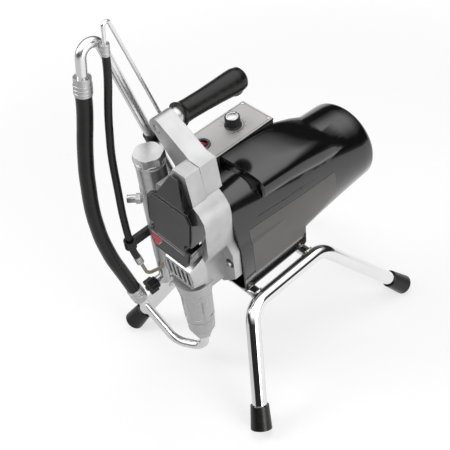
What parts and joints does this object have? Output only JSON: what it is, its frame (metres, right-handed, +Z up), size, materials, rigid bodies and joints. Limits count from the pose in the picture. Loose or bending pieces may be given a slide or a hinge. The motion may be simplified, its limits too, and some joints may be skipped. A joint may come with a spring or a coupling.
{
  "type": "airless paint sprayer",
  "caption": "Piston airless paint sprayer on a four-legged tube stand, with its motor cover, pump, filter, hoses, control box and carrying grip.",
  "frame": {"origin": "on the floor, at the middle of the stand", "axes": "+Z up, -Y towards the pump and its front cover, +X away from the hoses and filter"},
  "size_m": [0.3638, 0.4599, 0.6512],
  "materials": {
    "chrome_tube": "bright",
    "black_rubber": "matt",
    "plain_steel": "satin",
    "cast_alloy": "fine cast, satin",
    "gloss_black": "gloss",
    "matte_black": "matt",
    "badge_grey": "satin",
    "bright_steel": "machined",
    "dark_steel": "satin",
    "packing": "matt",
    "filter_mesh": "matt",
    "tan_tube": "satin",
    "box_grey": "satin",
    "plate_grey": "satin",
    "signal_red": "gloss",
    "board_green": "matt"
  },
  "bodies": {
    "frame": {"left_leg_frame": "chrome_tube", "right_leg_frame": "chrome_tube", "cross_tubes": "chrome_tube", "front_left_boot": "black_rubber", "front_right_boot": "black_rubber", "rear_left_boot": "black_rubber", "rear_right_boot": "black_rubber", "mount_bridge": "plain_steel", "drive_housing": "cast_alloy", "socket_screws": "plain_steel", "front_cover": "gloss_black", "badge_plate": "badge_grey", "rod_guard": "cast_alloy", "handle_arm": "cast_alloy", "grip_core": "plain_steel", "handle_grip": "black_rubber", "motor_shroud": "gloss_black", "belly_pan": "matte_black", "motor_front_bell": "cast_alloy", "motor_can": "dark_steel", "motor_rear_bell": "cast_alloy", "ball_bearings": "plain_steel", "packing_nut": "plain_steel", "piston_packings": "packing", "pump_cylinder": "bright_steel", "inlet_valve_housing": "bright_steel", "manifold": "cast_alloy", "filter_bowl": "bright_steel", "filter_cap": "bright_steel", "filter_element": "filter_mesh", "outlet_nipple": "bright_steel", "pressure_sensor": "plain_steel", "prime_valve_body": "plain_steel", "drain_elbow": "tan_tube", "return_hose": "black_rubber", "return_tube": "chrome_tube", "hose_holder": "matte_black", "suction_pipe": "chrome_tube", "swivel_nut": "plain_steel", "suction_hose": "black_rubber", "hose_ferrules": "bright_steel", "suction_tube": "chrome_tube", "inlet_strainer": "matte_black", "tube_clip": "matte_black", "control_box": "box_grey", "control_plate": "plate_grey", "power_switch": "matte_black", "potentiometer": "plain_steel", "circuit_board": "board_green", "cable_gland": "matte_black"},
    "rotor": {"rotor_shaft": "plain_steel", "cooling_fan": "matte_black"},
    "idler": {"idler_gear": "plain_steel"},
    "crank": {"crank_gear": "plain_steel"},
    "piston": {"yoke": "plain_steel", "piston_rod": "bright_steel"},
    "ball": {"inlet_ball": "bright_steel"},
    "pressure_dial": {"pressure_knob": "matte_black"},
    "rocker": {"switch_rocker": "signal_red"},
    "prime_dial": {"prime_valve_knob": "matte_black"}
  },
  "joints": [
    {"name": "rotor_spin", "type": "hinge", "parent": "frame", "child": "rotor", "pos_m": [0, 0, 0.288], "axis": [0, 1, 0], "continuous": true},
    {"name": "idler_spin", "type": "hinge", "parent": "frame", "child": "idler", "pos_m": [0.01799, -0.12, 0.30067], "axis": [0, 1, 0], "continuous": true},
    {"name": "crank_spin", "type": "hinge", "parent": "frame", "child": "crank", "pos_m": [0, -0.13, 0.333], "axis": [0, 1, 0], "continuous": true},
    {"name": "piston_stroke", "type": "slide", "parent": "frame", "child": "piston", "axis": [0, 0, 1], "range_m": [-0.008, 0.008]},
    {"name": "inlet_ball_lift", "type": "slide", "parent": "frame", "child": "ball", "axis": [0, 0, 1], "range_m": [0, 0.002]},
    {"name": "pressure_turn", "type": "hinge", "parent": "frame", "child": "pressure_dial", "pos_m": [-0.076, 0.018, 0.397], "axis": [0, 0, 1], "range_deg": [-135, 135]},
    {"name": "power_rocker", "type": "hinge", "parent": "frame", "child": "rocker", "pos_m": [-0.079, -0.046, 0.385], "axis": [0, 1, 0], "range_deg": [0, 18]},
    {"name": "prime_turn", "type": "hinge", "parent": "frame", "child": "prime_dial", "pos_m": [-0.1, -0.18, 0.15], "axis": [0, 1, 0], "range_deg": [0, 90]}
  ],
  "couplings": [
    {"joint": "idler_spin", "follows": "rotor_spin", "ratio": -0.29412},
    {"joint": "crank_spin", "follows": "rotor_spin", "ratio": 0.068627}
  ]
}
